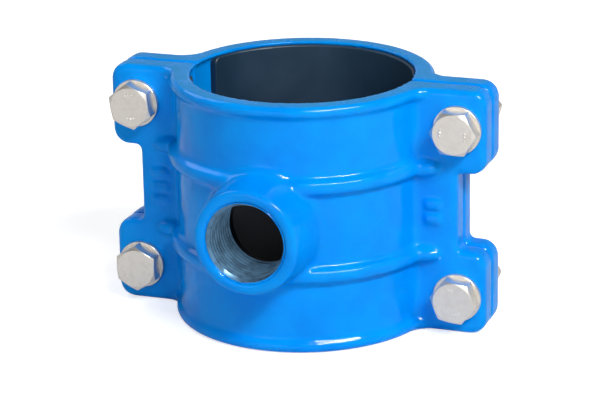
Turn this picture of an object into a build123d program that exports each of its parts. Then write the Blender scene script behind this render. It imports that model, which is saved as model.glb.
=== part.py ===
from build123d import *
import math
import os

# Tapping saddle: two ductile iron half shells that four bolts close round a pipe,
# with a threaded branch outlet in the front half and a rubber liner in each half.
# Millimetres. Z is the pipe's axis, -Y is the outlet's axis, and X runs along the
# flanges. The origin is where the pipe's axis and the outlet's axis cross.

# ---- pipe and liners -------------------------------------------------------------
PIPE_R = 45.0               # the liners close on a pipe of this radius
LINER_T = 3.0
LINER_SPAN = 147.0          # degrees of arc, centred in its half
LINER_CORNER = 3.0
LINER_EDGE = 0.6            # rounding of the rubber's inner edges
LAND_GAP = 1.0              # the casting's end lips stand this far clear of the pipe
LAND_T = 1.5                # thickness of an end lip along Z

# ---- casting ---------------------------------------------------------------------
HEIGHT = 103.0
WALL_T = 4.5                # outside the liner
BEAD_PROUD = 2.0            # rounded rim at each end
BEAD_H = 4.6
RIB_PROUD = 3.5             # two ribs round each half
RIB_T = 6.0
RIB_Z = 18.5
RIB_ROUND = 2.2
GAP = 0.4                   # between the two halves when the saddle is closed
FLANGE_Y = 11.0             # outer face of a flange, from the joint plane
BOLT_OUT = 17.0             # from the wall out to a bolt's axis
BOLT_END = 16.0             # from an end of the casting to a bolt's axis
LUG_MARGIN = 11.5           # from a bolt's axis out to the lug's edge
WAIST_DEPTH = 12.0          # the flange steps in by this much between its lugs
WAIST_Z = 16.5              # half height of the waist
LUG_CORNER = 6.5
WAIST_CORNER = 2.0
EDGE_ROUND = 2.5            # outer edge of the flanges and of the end rims
BEAD_UNDER = 1.6            # the rim's edge next to the wall
PARTING_ROUND = 1.8         # edge of a flange at the joint plane
WALL_FILLET = 4.0           # between wall and flange
BEAD_FLARE = 8.0            # rims and ribs run out on the flange in these radii
RIB_FLARE = 7.0

# ---- outlet: G 1 pipe thread, bored to its minor diameter ---------------------------
THREAD_MINOR_R = 15.15
MOUTH_CHAMFER = 1.75        # opens the mouth to just over the thread's major radius
BOSS_OUT = 17.5             # from the wall out to the boss's face
BOSS_WALL = 6.35            # at that face
BOSS_DRAFT = 7.0            # degrees
BOSS_ROOT = 10.0            # the cone starts this far inside the liner's bed
BOSS_FILLET = 5.0
BOSS_EDGE = 1.2
SEAL_HOLE_GAP = 0.35        # hole in the front liner, round the outlet's bore
SEAL_LIP = 2.5              # from that hole out to a relief groove
SEAL_GROOVE_W = 1.6
SEAL_GROOVE_D = 1.0

# ---- fasteners: M10 ----------------------------------------------------------------
SHANK_R = 5.0
SHANK_L = 45.0
SHANK_POINT = 1.0           # chamfer at the bolt's end
HEAD_AF = 17.0
HEAD_T = 6.4
HEX_CHAMFER = 0.95          # circle at the top of a hexagon, as a share of its flats
HEX_SLOPE = 30.0            # degrees of that chamfer
NUT_T = 8.4
NUT_TURN = 14.0             # degrees that a nut's hexagon is turned from its bolt's
WASHER_R = 10.0
WASHER_T = 2.0
WASHER_EDGE = 0.3
BOLT_HOLE_GAP = 0.5         # round the shank in the flange, the washer and the nut
WASHER_HOLE_GAP = 0.25
NUT_BORE_GAP = 0.05
CORNERS = {
    "upper_left": (-1, 1, 39.0),
    "upper_right": (1, 1, 59.0),
    "lower_left": (-1, -1, 32.0),
    "lower_right": (1, -1, 52.0),
}                           # side, level, and the turn of the hexagon in degrees

# ---- worked out from the sizes above -------------------------------------------------
HALF_H = HEIGHT / 2
JOINT_Y = GAP / 2
LAND_R = PIPE_R + LAND_GAP
POCKET_R = PIPE_R + LINER_T # bed of the liner in the casting
POCKET_H = HEIGHT - 2 * LAND_T
WALL_R = POCKET_R + WALL_T
BEAD_R = WALL_R + BEAD_PROUD
RIB_R = WALL_R + RIB_PROUD
BOLT_X = WALL_R + BOLT_OUT
BOLT_Z = HALF_H - BOLT_END
FLANGE_X = BOLT_X + LUG_MARGIN
WAIST_X = FLANGE_X - WAIST_DEPTH
BOSS_Y = -WALL_R - BOSS_OUT
BOSS_R = THREAD_MINOR_R + BOSS_WALL
BOSS_ROOT_Y = BOSS_ROOT - POCKET_R
SEAL_HOLE_R = THREAD_MINOR_R + SEAL_HOLE_GAP
SEAL_GROOVE_R = SEAL_HOLE_R + SEAL_LIP
HEAD_SEAT_Y = -FLANGE_Y - WASHER_T
NUT_SEAT_Y = FLANGE_Y + WASHER_T
BIG = 2 * FLANGE_X + HEIGHT # larger than the whole part
NEAR = 0.01                 # lengths closer than this count as equal
BASE = (Align.CENTER, Align.CENTER, Align.MIN)


def toward_front(shape, y):
    """Turn a shape built up from Z 0 so that it runs towards -Y from y."""
    return Location((0, y, 0), (90, 0, 0)) * shape


def plan_slab(radius, flare, z_low, z_high):
    """A disc's front half that runs out in tangent arcs on the flange's outer face."""
    foot = math.sqrt((radius + flare) ** 2 - (FLANGE_Y + flare) ** 2)
    sketch = Circle(radius) + Rectangle(2 * (foot + 1), 2 * FLANGE_Y)
    hollows = [v for v in sketch.vertices() if abs(v.X) < radius]
    sketch = fillet(hollows, flare)
    front = Location((0, -BIG / 2 - JOINT_Y)) * Rectangle(BIG, BIG)
    return Location((0, 0, z_low)) * extrude(sketch & front, z_high - z_low)


def round_level(slab, z, radius):
    """Round the outline of a slab's flat face at height z, away from the joint plane."""
    foot = slab.bounding_box().max.X
    outline = [
        e for e in slab.edges()
        if abs(e.center().Z - z) < NEAR and e.length > 10 * NEAR
        and e.center().Y < -JOINT_Y - NEAR and abs(e.center().X) < foot - NEAR
        and abs(e.start_point().Z - e.end_point().Z) < NEAR
    ]
    return fillet(outline, radius)


def rim(level):
    """Rounded rim at one end; level is 1 for the upper end and -1 for the lower."""
    z_end = level * HALF_H
    z_root = level * (HALF_H - BEAD_H)
    slab = plan_slab(BEAD_R, BEAD_FLARE, min(z_end, z_root), max(z_end, z_root))
    slab = round_level(slab, z_end, EDGE_ROUND)
    return round_level(slab, z_root, BEAD_UNDER)


def rib(level):
    """Rounded rib round the wall; it runs out on both flanges."""
    middle = level * RIB_Z
    slab = plan_slab(RIB_R, RIB_FLARE, middle - RIB_T / 2, middle + RIB_T / 2)
    slab = round_level(slab, middle - RIB_T / 2, RIB_ROUND)
    return round_level(slab, middle + RIB_T / 2, RIB_ROUND)


def flange_plate():
    """Both flanges of one half as one plate, with a waist between the lugs."""
    outline = Rectangle(2 * FLANGE_X, HEIGHT)
    outline = fillet(outline.vertices(), LUG_CORNER)
    for side in (-1, 1):
        notch = Rectangle(2 * (FLANGE_X - WAIST_X), 2 * WAIST_Z)
        outline -= Location((side * FLANGE_X, 0)) * notch
    waist = [v for v in outline.vertices() if abs(abs(v.Y) - WAIST_Z) < NEAR]
    outline = fillet([v for v in waist if abs(v.X) > WAIST_X + NEAR], LUG_CORNER)
    waist = [v for v in outline.vertices() if abs(abs(v.Y) - WAIST_Z) < NEAR]
    outline = fillet([v for v in waist if abs(v.X) < WAIST_X + NEAR], WAIST_CORNER)
    plate = toward_front(extrude(outline, FLANGE_Y - JOINT_Y), -JOINT_Y)
    outer_face = plate.faces().sort_by(Axis.Y)[0]
    return fillet(outer_face.edges(), EDGE_ROUND)


def boss():
    """Conical boss of the outlet, from inside the wall out to its face."""
    length = BOSS_ROOT_Y - BOSS_Y
    wide = BOSS_R + length * math.tan(math.radians(BOSS_DRAFT))
    cone = Cone(wide, BOSS_R, length, align=BASE)
    cone = fillet(cone.faces().sort_by(Axis.Z)[-1].edges(), BOSS_EDGE)
    return toward_front(cone, BOSS_Y + length)


def bore_cutter():
    """The liner's bed, and the narrower ends whose lips hold the liner."""
    bed = Cylinder(POCKET_R, POCKET_H)
    ends = Cylinder(LAND_R, HEIGHT + 2)
    return bed + ends


def outlet_cutter():
    """Bore of the outlet through the wall, with a chamfered mouth."""
    bore = Cylinder(THREAD_MINOR_R, -BOSS_Y, align=BASE)
    mouth_r = THREAD_MINOR_R + MOUTH_CHAMFER
    mouth = Cone(THREAD_MINOR_R, mouth_r, MOUTH_CHAMFER, align=BASE)
    return toward_front(bore, 0) + toward_front(mouth, BOSS_Y + MOUTH_CHAMFER)


def half_blank(with_boss):
    """One half before its bore and holes are cut, in the front half's place."""
    body = plan_slab(WALL_R, WALL_FILLET, -HALF_H, HALF_H)
    if with_boss:
        body = body + boss()
        seam = body.edges().filter_by(GeomType.BSPLINE)
        body = fillet(seam, BOSS_FILLET)
    body = body + flange_plate()
    for level in (-1, 1):
        body = body + rim(level) + rib(level)
    joint_face = body.faces().sort_by(Axis.Y)[-1]
    return fillet(joint_face.edges(), PARTING_ROUND)


def casting(with_boss):
    """One half shell in the front half's place."""
    body = half_blank(with_boss) - bore_cutter()
    for side, level, _ in CORNERS.values():
        hole = toward_front(Cylinder(SHANK_R + BOLT_HOLE_GAP, FLANGE_Y, align=BASE), 0)
        body -= Location((side * BOLT_X, 0, level * BOLT_Z)) * hole
    if with_boss:
        body -= outlet_cutter()
    return body


def wedge(span):
    """Sector about -Y, as wide as span in degrees and taller than the part."""
    half = math.radians(span / 2)
    # the two far corners lie well outside the part on the sector's edges
    x, y = BIG * math.sin(half), -BIG * math.cos(half)
    outline = Polyline((0, 0), (-x, y), (-x, -BIG), (x, -BIG), (x, y), close=True)
    return extrude(make_face(outline), POCKET_H, both=True)


def liner():
    """Rubber sheet bent to the casting's bed, rounded at its corners and inner edges."""
    tube = Cylinder(POCKET_R, POCKET_H) - Cylinder(PIPE_R, POCKET_H)
    sheet = tube & wedge(LINER_SPAN)
    corners = [e for e in sheet.edges().filter_by(GeomType.LINE) if e.length < 2 * LINER_T]
    sheet = fillet(corners, LINER_CORNER)
    round_faces = sheet.faces().filter_by(GeomType.CYLINDER)
    bore = [f for f in round_faces if abs(f.radius - PIPE_R) < NEAR][0]
    return fillet(bore.edges(), LINER_EDGE)


def front_liner():
    """Front liner: open at the outlet, with a relief groove that leaves a sealing lip."""
    sheet = liner()
    ring = Cylinder(SEAL_GROOVE_R + SEAL_GROOVE_W, BIG, align=BASE)
    ring -= Cylinder(SEAL_GROOVE_R, BIG, align=BASE)
    groove = toward_front(ring, 0) & Cylinder(PIPE_R + SEAL_GROOVE_D, HEIGHT)
    return sheet - groove - toward_front(Cylinder(SEAL_HOLE_R, BIG, align=BASE), 0)


def hexagon(height, turn, both_ends):
    """Hexagonal prism on Z, chamfered at its top or at both ends."""
    flats = RegularPolygon(HEAD_AF / 2, 6, major_radius=False, rotation=turn)
    prism = extrude(flats, height)
    top_r = HEX_CHAMFER * HEAD_AF / 2
    foot_r = top_r + height / math.tan(math.radians(HEX_SLOPE))
    prism &= Cone(foot_r, top_r, height, align=BASE)
    if both_ends:
        prism &= Cone(top_r, foot_r, height, align=BASE)
    return prism


def bolt(turn):
    """Hexagon bolt on the outlet's axis; it is moved to its corner later."""
    head = toward_front(hexagon(HEAD_T, turn, False), HEAD_SEAT_Y)
    shank = Cylinder(SHANK_R, SHANK_L, align=BASE)
    shank = chamfer(shank.faces().sort_by(Axis.Z)[0].edges(), SHANK_POINT)
    return head + toward_front(shank, HEAD_SEAT_Y + SHANK_L)


def nut(turn):
    """Hexagon nut behind the rear washer."""
    body = hexagon(NUT_T, turn, True) - Cylinder(SHANK_R + NUT_BORE_GAP, NUT_T, align=BASE)
    return toward_front(body, NUT_SEAT_Y + NUT_T)


def washer(y):
    """Flat washer whose front face is at y - WASHER_T and whose back is at y."""
    ring = Cylinder(WASHER_R, WASHER_T, align=BASE)
    ring = chamfer(ring.edges().filter_by(GeomType.CIRCLE), WASHER_EDGE)
    hole = Cylinder(SHANK_R + WASHER_HOLE_GAP, WASHER_T, align=BASE)
    return toward_front(ring - hole, y)


os.makedirs("parts", exist_ok=True)
parts = {
    "front_half": casting(with_boss=True),
    "rear_half": mirror(casting(with_boss=False), Plane.XZ),
    "front_liner": front_liner(),
    "rear_liner": mirror(liner(), Plane.XZ),
}
for name, (side, level, turn) in CORNERS.items():
    corner = Location((side * BOLT_X, 0, level * BOLT_Z))
    parts["bolt_" + name] = corner * bolt(turn)
    parts["head_washer_" + name] = corner * washer(-FLANGE_Y)
    parts["nut_washer_" + name] = corner * washer(NUT_SEAT_Y)
    parts["nut_" + name] = corner * nut(turn + NUT_TURN)

for name, shape in parts.items():
    export_step(shape, "parts/" + name + ".step")
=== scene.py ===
# %% [markdown]
# # A tapping saddle, dressed for the camera
#
# Two blue coated iron half shells are bolted round a pipe. The exact model, with its
# real sizes and moving bodies, is loaded as a fixed frame. Each step below then makes
# one kind of piece look as it does on the real object, in the same place.

# %% Load the exact model
import bpy
import math
from mathutils import Matrix, Vector


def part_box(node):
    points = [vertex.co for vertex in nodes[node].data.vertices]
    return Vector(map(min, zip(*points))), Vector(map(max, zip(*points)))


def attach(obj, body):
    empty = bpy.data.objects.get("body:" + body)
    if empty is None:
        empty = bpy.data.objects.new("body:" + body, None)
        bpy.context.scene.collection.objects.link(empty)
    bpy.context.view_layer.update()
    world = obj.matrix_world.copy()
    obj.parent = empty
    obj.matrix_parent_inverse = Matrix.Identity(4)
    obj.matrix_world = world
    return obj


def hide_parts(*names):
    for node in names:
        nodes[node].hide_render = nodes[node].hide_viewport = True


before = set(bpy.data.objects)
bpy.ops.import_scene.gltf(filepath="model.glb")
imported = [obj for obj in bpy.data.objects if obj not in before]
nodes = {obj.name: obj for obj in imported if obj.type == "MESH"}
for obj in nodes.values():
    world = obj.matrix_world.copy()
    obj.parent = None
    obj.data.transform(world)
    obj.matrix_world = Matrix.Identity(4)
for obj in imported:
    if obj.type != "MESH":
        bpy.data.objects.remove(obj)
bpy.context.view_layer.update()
print("pieces in the exact model:", len(nodes))

# %% [markdown]
# ## Sizes
#
# The height, the boss's face and the places of the bolts are read from the loaded
# frame. The pipe's axis is Z, the outlet points along -Y, and the bolts lie along Y as
# well. The thread sizes follow the standards: a G 1 pipe thread in the outlet and M10
# on the bolts.

# %% Driving sizes
MM = 0.001
FRONT_LOW, FRONT_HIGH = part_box("front_half")
HALF_HEIGHT = FRONT_HIGH.z
BOSS_FACE_Y = FRONT_LOW.y

OUTLET_PITCH = 2.309 * MM
OUTLET_CREST_R = 15.15 * MM
OUTLET_ROOT_R = 16.62 * MM
OUTLET_LENGTH = 24.0 * MM

BOLT_PITCH = 1.5 * MM
BOLT_CREST_R = 4.96 * MM
BOLT_ROOT_R = 4.1 * MM
HEAD_FLATS = 17.0 * MM
HEAD_HEIGHT = 6.4 * MM
NUT_HEIGHT = 8.4 * MM
WASHER_R = 10.0 * MM
WASHER_HOLE_R = 5.25 * MM
WASHER_T = 2.0 * MM
CORNERS = ("upper_left", "upper_right", "lower_left", "lower_right")
print("height", round(2 * HALF_HEIGHT / MM, 1), "mm, boss face at", round(BOSS_FACE_Y / MM, 1))

# %% [markdown]
# ## Helpers
#
# Blender's operators act on whatever is selected, and a loaded model leaves its pieces
# selected. So each step first selects just what it acts on, or nothing before it adds
# a mesh. Modifiers are applied at once, because what is handed on has to be a finished
# mesh.

# %% Selecting and changing


def pick_none():
    """Select nothing."""
    for other in bpy.context.selected_objects:
        other.select_set(False)


def pick(obj, *others):
    """Select these objects alone, with the first one active."""
    pick_none()
    for each in (obj, *others):
        each.select_set(True)
    bpy.context.view_layer.objects.active = obj
    return obj


def edit(obj, operator, **settings):
    """Run one edit mode operator on the whole mesh."""
    pick(obj)
    bpy.ops.object.mode_set(mode="EDIT")
    bpy.ops.mesh.select_all(action="SELECT")
    operator(**settings)
    bpy.ops.object.mode_set(mode="OBJECT")
    return obj


def modify(obj, kind, **settings):
    """Add one modifier with these settings and apply it."""
    pick(obj)
    modifier = obj.modifiers.new(kind, kind)
    for name, value in settings.items():
        setattr(modifier, name, value)
    bpy.ops.object.modifier_apply(modifier=modifier.name)
    return obj


def cut(obj, cutter, operation="DIFFERENCE"):
    """Boolean of an object with a helper shape, which is then deleted."""
    modify(obj, "BOOLEAN", object=cutter, operation=operation, solver="EXACT")
    bpy.data.objects.remove(cutter)
    return obj


def join(obj, *others):
    """Make these meshes one object."""
    pick(obj, *others)
    bpy.ops.object.join()
    return obj


def smooth(obj, degrees):
    """Shade smooth, but keep edges sharper than this angle."""
    pick(obj)
    bpy.ops.object.shade_smooth_by_angle(angle=math.radians(degrees))
    return obj


# %% Making, placing and handing on


def twin(obj, name):
    """A copy with a mesh of its own."""
    copy = bpy.data.objects.new(name, obj.data.copy())
    bpy.context.scene.collection.objects.link(copy)
    return copy


def settle(obj, matrix):
    """Put a finished shape in its place and write that place into its mesh."""
    bpy.context.view_layer.update()
    obj.matrix_world = matrix @ obj.matrix_world
    pick(obj)
    bpy.ops.object.transform_apply(location=True, rotation=True, scale=True)
    return obj


def along_y(x, y, z):
    """Place for a shape that was built up from the origin along +Z: it then runs to +Y."""
    return Matrix.Translation((x, y, z)) @ Matrix.Rotation(math.radians(-90), 4, "X")


def rod(radius, depth, sides=96, top_radius=None):
    """A cylinder or cone on Z, with its foot at the origin."""
    pick_none()
    top = radius if top_radius is None else top_radius
    bpy.ops.mesh.primitive_cone_add(
        vertices=sides, radius1=radius, radius2=top, depth=depth, location=(0, 0, depth / 2))
    return settle(bpy.context.object, Matrix.Identity(4))


def scaled(half):
    """Scale the newest primitive, which is 2 across, to these half sizes."""
    shape = bpy.context.object
    shape.scale = half
    return settle(shape, Matrix.Identity(4))


def lump(center, half, segments):
    """Ellipsoid, given by its centre and half sizes."""
    pick_none()
    bpy.ops.mesh.primitive_uv_sphere_add(
        segments=segments, ring_count=segments // 2, radius=1, location=center)
    return scaled(half)


def dress(piece, material, body, slot, *replaced):
    """Give a piece its finish, put it on the body that carries it, and hide the exact pieces that it stands
    for.
    """
    piece.data.materials.clear()
    piece.data.materials.append(material)
    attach(piece, body)
    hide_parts(*replaced)
    print(piece.name, "has", len(piece.data.polygons), "faces and rides on", body)


# %% [markdown]
# ## The camera
#
# The object is seen from a little above and from the right, with a long lens, so that
# its upright edges stay almost parallel. The camera is turned about the object's own
# axis and then backed off.

# %% Add the camera
CAMERA_YAW = 20.1
CAMERA_ELEVATION = 18.3
CAMERA_ROLL = -1.1
CAMERA_DISTANCE = 1.096
CAMERA_LENS = 158.5
CAMERA_SHIFT = (-0.0075, -0.0163)
NEAREST_SEEN = 0.01


def add_camera():
    bpy.ops.object.camera_add()
    camera = bpy.context.object
    camera.name = "camera"
    turn = Matrix.Rotation(math.radians(CAMERA_YAW), 4, "Z")
    tilt = Matrix.Rotation(math.radians(90 - CAMERA_ELEVATION), 4, "X")
    roll = Matrix.Rotation(math.radians(CAMERA_ROLL), 4, "Z")
    back_off = Matrix.Translation((0, 0, CAMERA_DISTANCE))
    camera.matrix_world = turn @ tilt @ roll @ back_off
    camera.data.lens = CAMERA_LENS
    camera.data.shift_x, camera.data.shift_y = CAMERA_SHIFT
    camera.data.clip_start = NEAREST_SEEN
    bpy.context.scene.camera = camera
    print("camera at", [round(value, 3) for value in camera.matrix_world.translation])


add_camera()

# %% [markdown]
# ## Materials
#
# Each finish is a small node tree on the Principled shader. Patterns read Object
# coordinates, so they stay on the piece when it moves. The scale of a noise is in
# waves for each metre, and the depth of a bump is in metres.

# %% Helpers for node trees


def new_material(name, color, metallic, roughness):
    """A Principled material; gives the material, its node tree and its shader."""
    material = bpy.data.materials.new(name)
    material.use_nodes = True
    shader = material.node_tree.nodes["Principled BSDF"]
    shader.inputs["Base Color"].default_value = (*color, 1)
    shader.inputs["Metallic"].default_value = metallic
    shader.inputs["Roughness"].default_value = roughness
    return material, material.node_tree, shader


def node(tree, kind, **inputs):
    """Add a node and set or link its inputs, given by name with _ for a space."""
    new = tree.nodes.new(kind)
    for name, value in inputs.items():
        socket = new.inputs[name.replace("_", " ")]
        if isinstance(value, bpy.types.NodeSocket):
            tree.links.new(value, socket)
        else:
            socket.default_value = value
    return new


def place(tree):
    """Object coordinates."""
    return tree.nodes.new("ShaderNodeTexCoord").outputs["Object"]


def part_z(tree, vector):
    """The Z part of a vector."""
    return node(tree, "ShaderNodeSeparateXYZ", Vector=vector).outputs["Z"]


def noise(tree, scale, detail=2.0, distortion=0.0):
    """Fractal noise."""
    spots = node(tree, "ShaderNodeTexNoise", Scale=scale, Detail=detail, Distortion=distortion)
    tree.links.new(place(tree), spots.inputs["Vector"])
    return spots.outputs["Fac"]


def remap(tree, value, low, high, to_low=0, to_high=1):
    """Map a value from one range to another, with soft ends."""
    step = node(tree, "ShaderNodeMapRange", Value=value)
    step.interpolation_type = "SMOOTHSTEP"
    for name, number in (("From Min", low), ("From Max", high), ("To Min", to_low), ("To Max", to_high)):
        step.inputs[name].default_value = number
    return step.outputs["Result"]


def calculate(tree, operation, first, second):
    """A sum on two values, such as MULTIPLY or MAXIMUM."""
    result = tree.nodes.new("ShaderNodeMath")
    result.operation = operation
    tree.links.new(first, result.inputs[0])
    tree.links.new(second, result.inputs[1])
    return result.outputs[0]


def mix_color(tree, factor, first, second):
    """Blend two colours, given as values or as sockets."""
    blend = tree.nodes.new("ShaderNodeMix")
    blend.data_type = "RGBA"
    tree.links.new(factor, blend.inputs["Factor"])
    for name, color in (("A", first), ("B", second)):
        socket = [s for s in blend.inputs if s.name == name and s.type == "RGBA"][0]
        if isinstance(color, bpy.types.NodeSocket):
            tree.links.new(color, socket)
        else:
            socket.default_value = (*color, 1)
    return [s for s in blend.outputs if s.type == "RGBA"][0]


def add_relief(tree, shader, *layers):
    """Bumps from coarse to fine; a layer is its scale, detail, distortion and depth."""
    normal = None
    for scale, detail, distortion, depth in layers:
        relief = node(tree, "ShaderNodeBump", Height=noise(tree, scale, detail, distortion), Distance=depth)
        if normal:
            tree.links.new(normal, relief.inputs["Normal"])
        normal = relief.outputs["Normal"]
    tree.links.new(normal, shader.inputs["Normal"])


# %% [markdown]
# ### Blue coating on cast iron
#
# The shells are dipped hot into epoxy powder, which melts to a thick, glossy skin.
# A strong clear reflection would wash the blue out, so the specular level is low and
# the skin is smooth: the colour stays full and the highlights crisp. Three sizes of
# bump make the casting: waves of the mould, its sand, and the coating's orange peel.
# The flat faces of the upper end are duller in streaks, as if scuffed, and their colour
# is darker where they look straight up: that darker colour is painted shade on the top.

# %% The coating
BLUE = (0.0, 0.30, 0.90)
BLUE_DEEP = (0.0, 0.255, 0.85)
BLUE_SCUFFED_AND_SHADED = (0.02, 0.27, 0.64)
COATING_SPECULAR = 0.1
GLOSSY, DULL = 0.11, 0.42
MOULD_WAVES = (70, 2, 0.0, 0.35 * MM)
SAND = (240, 3, 0.5, 0.14 * MM)
ORANGE_PEEL = (620, 2, 0.0, 0.03 * MM)
SCUFF_AND_SHADE_FROM = HALF_HEIGHT - 3 * MM
SCUFF_AND_SHADE_AT = SCUFF_AND_SHADE_FROM + 1 * MM


def scuffs_and_top_shade(tree):
    """1 where a face looks straight up at the upper end, in streaks, and 0 elsewhere; it marks scuffs and
    painted shade.
    """
    normal = tree.nodes.new("ShaderNodeNewGeometry").outputs["Normal"]
    faces_up = remap(tree, part_z(tree, normal), low=0.9, high=0.99)
    at_top = remap(tree, part_z(tree, place(tree)), low=SCUFF_AND_SHADE_FROM, high=SCUFF_AND_SHADE_AT)
    spots = noise(tree, scale=160, detail=4, distortion=0.8)
    streaks = remap(tree, spots, low=0.3, high=0.6, to_low=0.35)
    return calculate(tree, "MULTIPLY", calculate(tree, "MULTIPLY", faces_up, at_top), streaks)


def coating_material():
    material, tree, shader = new_material("blue_coating", BLUE, metallic=0.0, roughness=0.22)
    shader.inputs["Specular IOR Level"].default_value = COATING_SPECULAR
    clouds = remap(tree, noise(tree, scale=55, detail=3), low=0.35, high=0.7)
    color = mix_color(tree, clouds, BLUE, BLUE_DEEP)
    scuffed_and_shaded = scuffs_and_top_shade(tree)
    # scuffs, and painted shade that darkens the faces looking straight up
    color = mix_color(tree, scuffed_and_shaded, color, BLUE_SCUFFED_AND_SHADED)
    tree.links.new(color, shader.inputs["Base Color"])
    roughness = remap(tree, scuffed_and_shaded, low=0, high=1, to_low=GLOSSY, to_high=DULL)
    tree.links.new(roughness, shader.inputs["Roughness"])
    add_relief(tree, shader, MOULD_WAVES, SAND, ORANGE_PEEL)
    return material


coating = coating_material()
print("material:", coating.name)

# %% [markdown]
# ### Bare metal
#
# The outlet's thread is cut after casting, so it is bare iron, dark, with a blue tint
# that is a painted reflection of the blue mouth round it. The bolts, nuts and washers
# are cold-formed stainless steel, which is pale and a little warm. Both vary slightly in
# colour, because clean metal of one single colour looks painted.

# %% Iron and steel
# the blue in the iron's colours is a painted reflection of the coating round it
IRON_WITH_PAINTED_REFLECTION = (0.09, 0.20, 0.32)
IRON_LIGHT_WITH_PAINTED_REFLECTION, IRON_DARK_WITH_PAINTED_REFLECTION = (0.11, 0.23, 0.36), (0.055, 0.11, 0.175)
TOOL_MARKS = (1600, 3, 0.0, 0.02 * MM)
STEEL = (0.69, 0.66, 0.61)
STEEL_LIGHT, STEEL_DARK = (0.715, 0.68, 0.63), (0.66, 0.62, 0.57)
DENTS = (500, 2, 0.0, 0.006 * MM)


def iron_material():
    material, tree, shader = new_material("machined_iron", IRON_WITH_PAINTED_REFLECTION, metallic=0.9, roughness=0.4)
    spots = remap(tree, noise(tree, scale=260, detail=5), low=0.35, high=0.75)
    tree.links.new(mix_color(tree, spots, IRON_LIGHT_WITH_PAINTED_REFLECTION, IRON_DARK_WITH_PAINTED_REFLECTION), shader.inputs["Base Color"])
    add_relief(tree, shader, TOOL_MARKS)
    return material


def steel_material():
    material, tree, shader = new_material("stainless_steel", STEEL, metallic=0.85, roughness=0.32)
    spots = noise(tree, scale=480, detail=5)
    color = mix_color(tree, remap(tree, spots, low=0.4, high=0.75), STEEL_LIGHT, STEEL_DARK)
    tree.links.new(color, shader.inputs["Base Color"])
    roughness = remap(tree, spots, low=0.3, high=0.8, to_low=0.28, to_high=0.38)
    tree.links.new(roughness, shader.inputs["Roughness"])
    add_relief(tree, shader, DENTS)
    return material


iron = iron_material()
steel = steel_material()
print("materials:", iron.name, "and", steel.name)

# %% [markdown]
# ### Rubber
#
# The black rubber has a faint blue cast in cloudy patches. The cast fades towards the
# lower end, so the colour runs down to black with the height: that is painted shade,
# deep in the saddle where little light reaches.

# %% The rubber
RUBBER = (0.006, 0.016, 0.03)
RUBBER_PATCHES = ((0.008, 0.028, 0.056), (0.014, 0.045, 0.085))
RUBBER_PAINTED_SHADE_BLACK = (0.003, 0.005, 0.009)
RUBBER_SPECULAR = 0.3
PAINTED_SHADE_BELOW, UNSHADED_ABOVE = -15 * MM, 35 * MM
RUBBER_GRAIN = (1400, 3, 0.0, 0.03 * MM)


def rubber_material():
    material, tree, shader = new_material("rubber", RUBBER, metallic=0.0, roughness=0.5)
    shader.inputs["Specular IOR Level"].default_value = RUBBER_SPECULAR
    clouds = remap(tree, noise(tree, scale=30, detail=5, distortion=0.3), low=0.25, high=0.75)
    color = mix_color(tree, clouds, *RUBBER_PATCHES)
    # painted shade: the colour goes black towards the lower end, deep in the saddle
    out_of_painted_shade = remap(tree, part_z(tree, place(tree)), low=PAINTED_SHADE_BELOW, high=UNSHADED_ABOVE)
    color = mix_color(tree, out_of_painted_shade, RUBBER_PAINTED_SHADE_BLACK, color)
    tree.links.new(color, shader.inputs["Base Color"])
    roughness = remap(tree, clouds, low=0, high=1, to_low=0.42, to_high=0.56)
    tree.links.new(roughness, shader.inputs["Roughness"])
    add_relief(tree, shader, RUBBER_GRAIN)
    return material


rubber = rubber_material()
print("material:", rubber.name)

# %% [markdown]
# ## Threads
#
# A thread is one small tooth profile that travels along a helix. It could be faked with
# rings, but then the lines would close on themselves and never lead in. The Screw
# modifier is the natural tool: it turns a short profile round Z while it climbs by one
# pitch a turn, and neighbouring turns weld into one surface.

# %% A thread's surface
THREAD_STEPS = 72
SPARE_TURNS = 2
SAME_PLACE = 0.001 * MM
# one tooth: how far along the pitch, and how far from the valley to the ridge
TOOTH = ((0.0, 0.0), (0.13, 0.0), (0.42, 1.0), (0.58, 1.0), (0.87, 0.0), (1.0, 0.0))


def thread_surface(name, valley_r, ridge_r, pitch, length):
    """Open threaded surface on Z, from the origin up; a ridge may lie in or out."""
    turns = math.ceil(length / pitch) + SPARE_TURNS
    points = [(valley_r + rise * (ridge_r - valley_r), 0, (share - 1) * pitch) for share, rise in TOOTH]
    mesh = bpy.data.meshes.new(name)
    mesh.from_pydata(points, [(i, i + 1) for i in range(len(points) - 1)], [])
    surface = bpy.data.objects.new(name, mesh)
    bpy.context.scene.collection.objects.link(surface)
    return modify(surface, "SCREW", angle=2 * math.pi, screw_offset=pitch, iterations=turns,
                  steps=THREAD_STEPS, render_steps=THREAD_STEPS, use_merge_vertices=True,
                  merge_threshold=SAME_PLACE)


def trim(surface, low, high, fill):
    """Cut a surface square at both ends, and close the ends if asked."""
    for height, side in ((low, -1), (high, 1)):
        edit(surface, bpy.ops.mesh.bisect, plane_co=(0, 0, height), plane_no=(0, 0, side),
             clear_outer=True, use_fill=fill)
    return edit(surface, bpy.ops.mesh.normals_make_consistent, inside=False)


def clamp_radius(obj, bounds):
    """Keep each vertex's distance from Z within the two limits at its height."""
    for vertex in obj.data.vertices:
        radius = math.hypot(vertex.co.x, vertex.co.y)
        low, high = bounds(vertex.co.z)
        wanted = min(max(radius, low), high)
        if radius > 0 and wanted != radius:
            vertex.co.x *= wanted / radius
            vertex.co.y *= wanted / radius


# %% [markdown]
# ## Castings
#
# The exact shells have sharp lines where ribs meet flanges. Sand casting and a thick
# coating soften all of them. Bevelling hundreds of such edges by hand would be slow
# and fragile, so a copy of the shell is rebuilt as one skin of small even faces by a
# voxel remesh, and that skin is relaxed a little, which rounds what was sharp.
#
# Small shapes are joined to the copy first, and the remesh melts them in: the rounded
# noses in which the ribs end on the flanges, and plain pads on the front flanges where
# a foundry's figures would stand.

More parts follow.
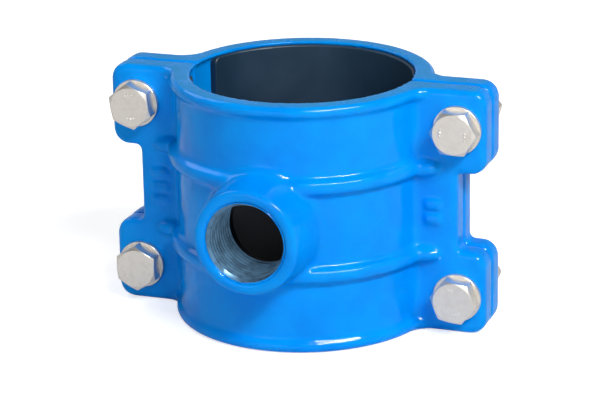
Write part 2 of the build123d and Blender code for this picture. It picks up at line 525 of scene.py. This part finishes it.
# %% Sizes of the castings' details
VOXEL = 0.95 * MM
RELAX_STEPS = 5
SLEEVE_WALL = 0.3 * MM
BORE_R = OUTLET_ROOT_R + SLEEVE_WALL / 2
BORE_DEPTH = 40 * MM
BORE_LEAD_IN = 5 * MM
FLANGE_FACE_Y = -11.0 * MM
PAD_ROUND = 0.7 * MM
RIGHT_PAD_X, RIGHT_PAD_HEIGHTS = 59.0 * MM, (-3.0, 3.0)
RIGHT_PAD_HALF = (3.2 * MM, 1.4 * MM, 2.1 * MM)
LEFT_PAD_X, LEFT_PAD_HEIGHTS = -60.0 * MM, (-6.0, 0.0, 6.0)
LEFT_PAD_HALF = (3.6 * MM, 1.4 * MM, 1.6 * MM)
NOSE_X, NOSE_Y, NOSE_Z = 54.0 * MM, 12.0 * MM, 18.2 * MM
NOSE_HALF = (8.0 * MM, 3.0 * MM, 3.2 * MM)
NOSE_SEGMENTS = 32

# %% Rebuild the shells as soft skins


def merged_copy(node_name, name):
    """Copy of an exact piece, with its loose triangles joined up."""
    return edit(twin(nodes[node_name], name), bpy.ops.mesh.remove_doubles, threshold=SAME_PLACE)


def soft_skin(piece):
    """Voxel remesh and relax."""
    modify(piece, "REMESH", mode="VOXEL", voxel_size=VOXEL, use_smooth_shade=True)
    return modify(piece, "SMOOTH", factor=0.5, iterations=RELAX_STEPS)


def pad(center, half):
    """Flat-topped pad with rounded edges, given by its centre and half sizes."""
    pick_none()
    bpy.ops.mesh.primitive_cube_add(size=2, location=center)
    return modify(scaled(half), "BEVEL", width=PAD_ROUND, segments=3)


def rib_ends(side):
    """The ribs run out on the flanges in noses; side is -1 in front and 1 behind."""
    places = [(x * NOSE_X, side * NOSE_Y, z * NOSE_Z) for x in (-1, 1) for z in (-1, 1)]
    return [lump(center, NOSE_HALF, NOSE_SEGMENTS) for center in places]


front_casting = merged_copy("front_half", "front_casting")
cut(front_casting, settle(rod(BORE_R, BORE_DEPTH), along_y(0, BOSS_FACE_Y - BORE_LEAD_IN, 0)))
pads = [pad((RIGHT_PAD_X, FLANGE_FACE_Y, z * MM), RIGHT_PAD_HALF) for z in RIGHT_PAD_HEIGHTS]
pads += [pad((LEFT_PAD_X, FLANGE_FACE_Y, z * MM), LEFT_PAD_HALF) for z in LEFT_PAD_HEIGHTS]
soft_skin(join(front_casting, *pads, *rib_ends(-1)))

rear_casting = merged_copy("rear_half", "rear_casting")
soft_skin(join(rear_casting, *rib_ends(1)))
dress(rear_casting, coating, "rear", "blue_coating", "rear_half")

# %% [markdown]
# ### The outlet's thread
#
# The thread is a sleeve in the bored-out boss. Its mouth is chamfered, and the coating
# runs a little way in, up to a line that is never quite straight. So the sleeve is
# split at that depth, its outer band takes the coating, and the points on the line are
# moved in and out by two waves.

# %% Cut the outlet's thread
MOUTH_SET_BACK = 0.5 * MM
COATED_DEPTH = 1.0 * MM
# waves in the coating's edge: how many in a turn, their depth in mm, and their start
EDGE_WAVES = ((3, 0.12, 1), (23, 0.14, 0))
SLEEVE_SHARP_FROM = 35


def coat_mouth(thread):
    """Run the coating a little way into the mouth, up to a ragged line."""
    edit(thread, bpy.ops.mesh.bisect, plane_co=(0, 0, COATED_DEPTH), plane_no=(0, 0, 1))
    thread.data.materials.clear()
    thread.data.materials.append(iron)
    thread.data.materials.append(coating)
    for face in thread.data.polygons:
        face.material_index = int(face.center.z < COATED_DEPTH)
    for vertex in thread.data.vertices:
        if abs(vertex.co.z - COATED_DEPTH) < SAME_PLACE:
            turn = math.atan2(vertex.co.y, vertex.co.x)
            shifts = [depth * math.sin(count * turn + start) for count, depth, start in EDGE_WAVES]
            vertex.co.z += sum(shifts) * MM


def outlet_bounds(height):
    """The mouth's chamfer opens the crests; height runs inwards from the boss's face."""
    return OUTLET_ROOT_R - (height - MOUTH_SET_BACK), 1.0


sleeve = thread_surface("outlet_thread", OUTLET_ROOT_R, OUTLET_CREST_R, OUTLET_PITCH, OUTLET_LENGTH)
trim(sleeve, MOUTH_SET_BACK, OUTLET_LENGTH, False)
clamp_radius(sleeve, outlet_bounds)
coat_mouth(sleeve)
modify(sleeve, "SOLIDIFY", thickness=SLEEVE_WALL, offset=1, use_even_offset=False)
settle(sleeve, along_y(0, BOSS_FACE_Y, 0))
smooth(sleeve, SLEEVE_SHARP_FROM)
dress(front_casting, coating, "front", "blue_coating", "front_half")
join(front_casting, sleeve)
print("front casting with its thread:", len(front_casting.data.polygons), "faces")

# %% [markdown]
# ## Bolts, nuts and washers
#
# A hexagon head is a six-sided bar whose top is turned to a 30 degree cone. So a
# six-sided cylinder is intersected with a blunt cone, which gives the curved arcs on
# its sides, and a fine bevel takes the sharpness off. The shank is a real helix.

# %% A hexagon with turned ends
HEX_BEVEL = 0.12 * MM
# the middle of a hexagon's side is this far round from a corner
HALF_SIDE = math.radians(30)
HEX_SLOPE = math.radians(30)
CHAMFER_SHARE = 0.95
TURNED_SIDES = 128
BEVEL_FROM, SHARP_FROM = 28, 40


def hexagon(height, both_ends):
    """Six-sided bar on Z, turned to a cone at its top or at both ends."""
    corner_r = HEAD_FLATS / 2 / math.cos(HALF_SIDE)
    bar = rod(corner_r, height, sides=6)
    face_r = CHAMFER_SHARE * HEAD_FLATS / 2
    foot_r = face_r + height / math.tan(HEX_SLOPE)
    cut(bar, rod(foot_r, height, TURNED_SIDES, face_r), "INTERSECT")
    if both_ends:
        cut(bar, rod(face_r, height, TURNED_SIDES, foot_r), "INTERSECT")
    return bar


def bevelled(obj, width, segments=2):
    """Small bevel on every real edge, with the flats still shaded flat."""
    modify(obj, "BEVEL", width=width, segments=segments, limit_method="ANGLE",
           angle_limit=math.radians(BEVEL_FROM), harden_normals=False)
    smooth(obj, SHARP_FROM)
    return modify(obj, "WEIGHTED_NORMAL", keep_sharp=True)


# %% Model one bolt
BOLT_LOW, BOLT_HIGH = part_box("bolt_upper_left")
SHANK_LENGTH = BOLT_HIGH.y - BOLT_LOW.y - HEAD_HEIGHT
SHANK_END = HEAD_HEIGHT + SHANK_LENGTH
POINT = 1.0 * MM
THREADED = 34.0 * MM
ROUND_SIDES = 72
MARK_RING_R = 5.2 * MM
MARK_DEPTH, MARK_HALF_HEIGHT = 0.02 * MM, 0.2 * MM
MARK_SEGMENTS = 16
# plain dots on a head: degrees round the ring, and radius in mm
MARKS = ((20, 0.55), (35, 0.55), (50, 0.55), (200, 0.55), (215, 0.8), (230, 0.55))


def point_bounds(height):
    """Chamfer on the thread's end; heights run from the end back to the head."""
    return 0.0, BOLT_CREST_R - max(POINT - height, 0)


def bolt_shank():
    """Threaded end and plain neck of a shank that runs up from a head at the origin."""
    thread = thread_surface("thread", BOLT_ROOT_R, BOLT_CREST_R, BOLT_PITCH, THREADED)
    trim(thread, 0, THREADED, True)
    clamp_radius(thread, point_bounds)
    settle(thread, Matrix.Translation((0, 0, SHANK_END)) @ Matrix.Rotation(math.pi, 4, "X"))
    plain = rod(BOLT_CREST_R, SHANK_END - THREADED - HEAD_HEIGHT / 2, ROUND_SIDES)
    settle(plain, Matrix.Translation((0, 0, HEAD_HEIGHT / 2)))
    return thread, plain


def head_marks():
    """Plain shallow dots on the face of a head."""
    marks = []
    for degrees, radius in MARKS:
        turn = math.radians(degrees)
        center = (MARK_RING_R * math.cos(turn), MARK_RING_R * math.sin(turn), MARK_DEPTH)
        marks.append(lump(center, (radius * MM, radius * MM, MARK_HALF_HEIGHT), MARK_SEGMENTS))
    return marks


master_head = hexagon(HEAD_HEIGHT, False)
# the head's turned face is its outer end, so it is turned over to face -Y
settle(master_head, Matrix.Translation((0, 0, HEAD_HEIGHT)) @ Matrix.Rotation(math.pi, 4, "X"))
bevelled(master_head, HEX_BEVEL)
shank = bolt_shank()
for part in shank:
    smooth(part, SHARP_FROM)
master_bolt = join(master_head, *shank, *head_marks())
print("one bolt has", len(master_bolt.data.polygons), "faces")

# %% Model one nut and one washer
NUT_CLEARANCE = 0.05 * MM
CUT_PAST = 2 * MM
WASHER_BEVEL = 0.3 * MM

master_nut = hexagon(NUT_HEIGHT, True)
nut_bore = rod(BOLT_CREST_R + NUT_CLEARANCE, 2 * NUT_HEIGHT, ROUND_SIDES)
cut(master_nut, settle(nut_bore, Matrix.Translation((0, 0, -CUT_PAST))))
bevelled(master_nut, HEX_BEVEL)

master_washer = rod(WASHER_R, WASHER_T)
washer_hole = rod(WASHER_HOLE_R, 3 * WASHER_T, ROUND_SIDES)
cut(master_washer, settle(washer_hole, Matrix.Translation((0, 0, -WASHER_T))))
bevelled(master_washer, WASHER_BEVEL, 3)
print("nut and washer have", len(master_nut.data.polygons), "and", len(master_washer.data.polygons), "faces")

# %% [markdown]
# ### Four of each
#
# Every bolt and nut is turned as its exact piece is. The turn is read from the exact
# piece itself: the point farthest from the axis is a corner of its hexagon.

# %% Copy them to the four corners
AXES = {}
for corner in CORNERS:
    low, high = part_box("head_washer_" + corner)
    AXES[corner] = (low + high) / 2
print("bolt axes:", {corner: (round(a.x / MM, 1), round(a.z / MM, 1)) for corner, a in AXES.items()})


def corner_turn(node_name, axis):
    """Turn of an exact hexagon about Y, from its vertex farthest from its axis."""
    vertices = nodes[node_name].data.vertices
    far = max(vertices, key=lambda v: math.hypot(v.co.x - axis.x, v.co.z - axis.z))
    return math.atan2(far.co.z - axis.z, far.co.x - axis.x)


def set_piece(master, node_name, axis, body, turn):
    """Copy a master to where the exact piece starts, turned like it about its axis."""
    piece = twin(master, node_name + "_dressed")
    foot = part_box(node_name)[0].y
    settle(piece, along_y(axis.x, foot, axis.z) @ Matrix.Rotation(turn, 4, "Z"))
    dress(piece, steel, body, "stainless_steel", node_name)


for corner, axis in AXES.items():
    kinds = (
        ("bolt_", master_bolt, "bolt_" + corner, True),
        ("nut_", master_nut, "rear", True),
        ("head_washer_", master_washer, "front", False),
        ("nut_washer_", master_washer, "rear", False),
    )
    for kind, master, body, is_hexagon in kinds:
        turn = corner_turn(kind + corner, axis) if is_hexagon else 0.0
        set_piece(master, kind + corner, axis, body, HALF_SIDE - turn)
for master in (master_bolt, master_nut, master_washer):
    bpy.data.objects.remove(master)

# %% [markdown]
# ## Rubber liners
#
# The liners are sheets bent to the shells' beds. Their exact shape has the rounded
# edges already, so the exact pieces stay as they are and only take the rubber finish.

# %% Dress the liners
for name in ("front_liner", "rear_liner"):
    for slot in nodes[name].material_slots:
        slot.material = rubber
    print(name, "is", rubber.name, "in", len(nodes[name].material_slots), "slot")

# %% [markdown]
# ## Floor, world and lamps
#
# The camera sees plain white behind the object, but that white must not light it, or
# the blue would fade. The Light Path node tells rays apart: the floor glows and the
# world is bright for the camera, and less so for what gloss shows. For the light that
# falls on the object, the floor doesn't glow and the world is dim.

# %% Floor and world
FLOOR_SIZE = 8
FLOOR_GAP = 0.1 * MM
FLOOR_GRAY = (0.78, 0.78, 0.78)
FLOOR_GLOW, FLOOR_GLOW_MIRRORED = 0.68, 0.12
WHITE = (1, 1, 1, 1)
OVERHEAD, AROUND, HORIZON = 0.12, 0.2, 1.0
BACKDROP_SEEN, BACKDROP_MIRRORED = 1.0, 0.6


def backdrop(tree, in_camera, in_mirrors):
    """One value for the camera's own rays and one for what metal and glass show."""
    rays = tree.nodes.new("ShaderNodeLightPath").outputs
    mirrored = calculate(tree, "MAXIMUM", rays["Is Glossy Ray"], rays["Is Transmission Ray"])
    seen = remap(tree, rays["Is Camera Ray"], low=0, high=1, to_high=in_camera)
    shown = remap(tree, mirrored, low=0, high=1, to_high=in_mirrors)
    return calculate(tree, "MAXIMUM", seen, shown)


def add_floor():
    pick_none()
    bpy.ops.mesh.primitive_plane_add(size=FLOOR_SIZE, location=(0, 0, -HALF_HEIGHT - FLOOR_GAP))
    floor = bpy.context.object
    floor.name = "floor"
    material, tree, shader = new_material("floor_white", FLOOR_GRAY, metallic=0.0, roughness=0.9)
    shader.inputs["Specular IOR Level"].default_value = 0.0
    shader.inputs["Emission Color"].default_value = WHITE
    glow = backdrop(tree, FLOOR_GLOW, FLOOR_GLOW_MIRRORED)
    tree.links.new(glow, shader.inputs["Emission Strength"])
    floor.data.materials.append(material)


def add_world():
    world = bpy.data.worlds.new("studio")
    bpy.context.scene.world = world
    world.use_nodes = True
    tree = world.node_tree
    background = tree.nodes["Background"]
    height = part_z(tree, tree.nodes.new("ShaderNodeTexCoord").outputs["Generated"])
    lights = remap(tree, height, low=0.35, high=0.8, to_low=AROUND, to_high=OVERHEAD)
    shows = remap(tree, height, low=0.05, high=0.5, to_low=HORIZON, to_high=OVERHEAD)
    # a Mix node has a set of sockets for each kind of data; 0, 2 and 3 are for numbers
    strength = node(tree, "ShaderNodeMix")
    tree.links.new(backdrop(tree, BACKDROP_SEEN, BACKDROP_MIRRORED), strength.inputs[0])
    tree.links.new(lights, strength.inputs[2])
    tree.links.new(shows, strength.inputs[3])
    tree.links.new(strength.outputs[0], background.inputs["Strength"])
    background.inputs["Color"].default_value = WHITE


add_floor()
add_world()
print("floor at", round((-HALF_HEIGHT - FLOOR_GAP) / MM, 1), "mm")

# %% [markdown]
# ### Lamps
#
# A wide, flat key lamp hangs in front at the right, a weak one fills from the front,
# and one at the left, a little behind, lights the edges. The long bright lines on ribs
# and rims need a brighter lamp than the colour can bear, so a fourth lamp, the glint,
# is left out of the diffuse light: only gloss shows it.

# %% Add the lamps


def softbox(name, azimuth, elevation, distance, width, height, watts):
    """Rectangular lamp aimed at the object; azimuth 0 is in front and 90 at the right."""
    a, e = math.radians(azimuth), math.radians(elevation)
    stand = distance * Vector((math.sin(a) * math.cos(e), -math.cos(a) * math.cos(e), math.sin(e)))
    bpy.ops.object.light_add(type="AREA", location=stand)
    lamp = bpy.context.object
    lamp.name = name
    lamp.data.shape = "RECTANGLE"
    lamp.data.size = width
    lamp.data.size_y = height
    lamp.data.energy = watts
    lamp.rotation_euler = (-stand).to_track_quat("-Z", "Y").to_euler()
    print(name, "gives", watts, "W")
    return lamp


softbox("key", azimuth=52, elevation=43, distance=1.3, width=0.8, height=0.16, watts=15.5)
softbox("fill", azimuth=-12, elevation=12, distance=1.6, width=0.8, height=0.5, watts=2.8)
softbox("back", azimuth=245, elevation=42, distance=1.6, width=0.9, height=0.6, watts=6)
glint = softbox("glint", azimuth=50, elevation=46, distance=1.3, width=0.7, height=0.1, watts=34)
glint.visible_diffuse = False
bpy.context.scene.view_settings.view_transform = "Standard"
